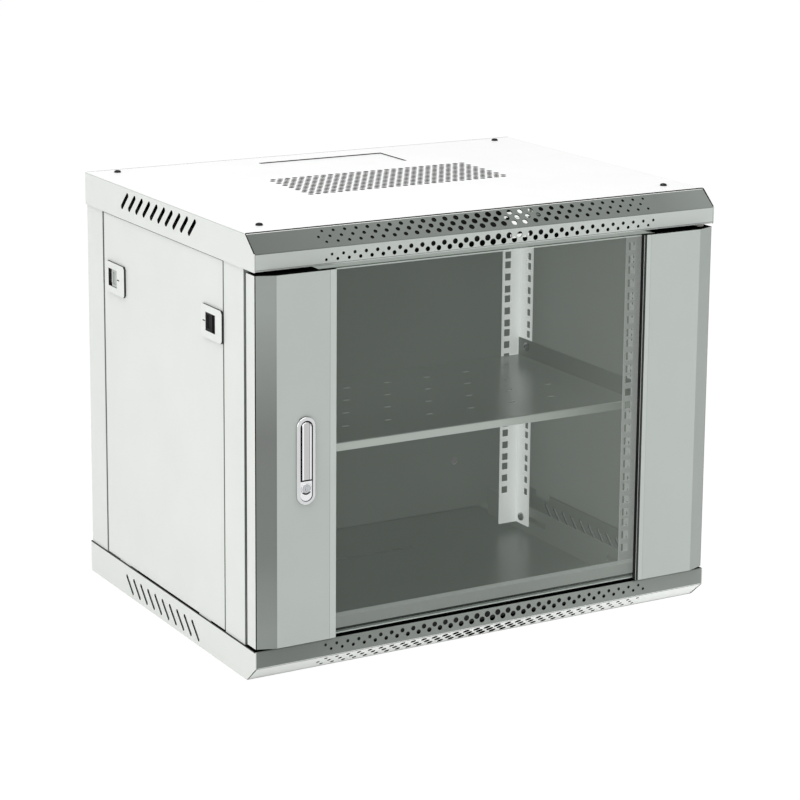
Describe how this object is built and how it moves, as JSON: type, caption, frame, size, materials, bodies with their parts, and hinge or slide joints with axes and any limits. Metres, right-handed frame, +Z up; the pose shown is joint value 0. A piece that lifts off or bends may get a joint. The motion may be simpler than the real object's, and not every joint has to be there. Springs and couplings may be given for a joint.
{
  "type": "wall mount network cabinet",
  "caption": "Wall mount network cabinet with a glass door between steel stiles, square-hole rack rails, a shelf, perforated fascias and latched side panels.",
  "frame": {"origin": "centre of the cabinet's footprint on the outside of the bottom tray", "axes": "+X to the hinge side, to the right seen from the front; +Y from the door to the wall; +Z up"},
  "size_m": [0.602, 0.4615, 0.5026],
  "materials": {
    "cover_paint": "fine powder coat",
    "fascia_paint": "fine powder coat, darker grey",
    "frame_paint": "fine powder coat",
    "rail_paint": "fine powder coat",
    "shelf_paint": "semi-gloss powder coat",
    "black_steel": "black oxide",
    "zinc_steel": "zinc plated",
    "nylon": "moulded nylon",
    "door_paint": "fine powder coat",
    "pin_steel": "turned steel",
    "tinted_glass": "toughened, grey-green tint",
    "tape": "black mounting tape",
    "lock_chrome": "satin chrome",
    "panel_paint": "fine powder coat",
    "latch_plastic": "moulded, light grey",
    "slider_plastic": "moulded, mid grey"
  },
  "bodies": {
    "cabinet": {"top_cover": "cover_paint", "bottom_tray": "cover_paint", "top_cable_plate": "cover_paint", "bottom_cable_plate": "cover_paint", "top_fascia": "fascia_paint", "bottom_fascia": "fascia_paint", "front_post_left": "frame_paint", "front_post_right": "frame_paint", "rear_post_left": "frame_paint", "rear_post_right": "frame_paint", "front_corner_plates": "frame_paint", "rear_corner_plates": "frame_paint", "top_sill": "frame_paint", "bottom_sill": "frame_paint", "back_panel": "frame_paint", "depth_rail_top_left": "frame_paint", "depth_rail_top_right": "frame_paint", "depth_rail_bottom_left": "frame_paint", "depth_rail_bottom_right": "frame_paint", "front_rail_left": "rail_paint", "front_rail_right": "rail_paint", "rear_rail_left": "rail_paint", "rear_rail_right": "rail_paint", "shelf": "shelf_paint", "cover_screws": "black_steel", "rail_bolts": "black_steel", "shelf_screws": "black_steel", "cage_nuts": "zinc_steel", "hinge_bushes": "nylon"},
    "door": {"lock_stile": "door_paint", "hinge_stile": "door_paint", "lock_stile_caps": "door_paint", "hinge_stile_caps": "door_paint", "hinge_pins": "pin_steel", "door_glass": "tinted_glass", "glass_tape": "tape", "lock_housing": "lock_chrome", "lever_pin": "pin_steel"},
    "lever": {"lock_lever": "lock_chrome"},
    "lock_cylinder": {"key_plug": "lock_chrome", "lock_cam": "zinc_steel", "cam_screw": "zinc_steel"},
    "left_side_panel": {"left_panel": "panel_paint", "left_latch_housings": "latch_plastic"},
    "right_side_panel": {"right_panel": "panel_paint", "right_latch_housings": "latch_plastic"},
    "left_front_latch_slider": {"left_front_latch": "slider_plastic"},
    "left_rear_latch_slider": {"left_rear_latch": "slider_plastic"},
    "right_front_latch_slider": {"right_front_latch": "slider_plastic"},
    "right_rear_latch_slider": {"right_rear_latch": "slider_plastic"}
  },
  "joints": [
    {"name": "door_hinge", "type": "hinge", "parent": "cabinet", "child": "door", "pos_m": [0.287, -0.214, 0.25], "axis": [0, 0, 1], "range_deg": [0, 150]},
    {"name": "lever_tilt", "type": "hinge", "parent": "door", "child": "lever", "pos_m": [-0.2429, -0.2335, 0.29], "axis": [-1, 0, 0], "range_deg": [0, 40]},
    {"name": "key_turn", "type": "hinge", "parent": "door", "child": "lock_cylinder", "pos_m": [-0.2429, -0.215, 0.21895], "axis": [0, 1, 0], "range_deg": [0, 90]},
    {"name": "left_panel_tilt", "type": "hinge", "parent": "cabinet", "child": "left_side_panel", "pos_m": [-0.2988, 0.0144, 0.039], "axis": [0, -1, 0], "range_deg": [0, 30]},
    {"name": "right_panel_tilt", "type": "hinge", "parent": "cabinet", "child": "right_side_panel", "pos_m": [0.2988, 0.0144, 0.039], "axis": [0, 1, 0], "range_deg": [0, 30]},
    {"name": "left_front_latch_slide", "type": "slide", "parent": "left_side_panel", "child": "left_front_latch_slider", "axis": [0, -1, 0], "range_m": [0, 0.0085]},
    {"name": "left_rear_latch_slide", "type": "slide", "parent": "left_side_panel", "child": "left_rear_latch_slider", "axis": [0, 1, 0], "range_m": [0, 0.0085]},
    {"name": "right_front_latch_slide", "type": "slide", "parent": "right_side_panel", "child": "right_front_latch_slider", "axis": [0, -1, 0], "range_m": [0, 0.0085]},
    {"name": "right_rear_latch_slide", "type": "slide", "parent": "right_side_panel", "child": "right_rear_latch_slider", "axis": [0, 1, 0], "range_m": [0, 0.0085]}
  ]
}
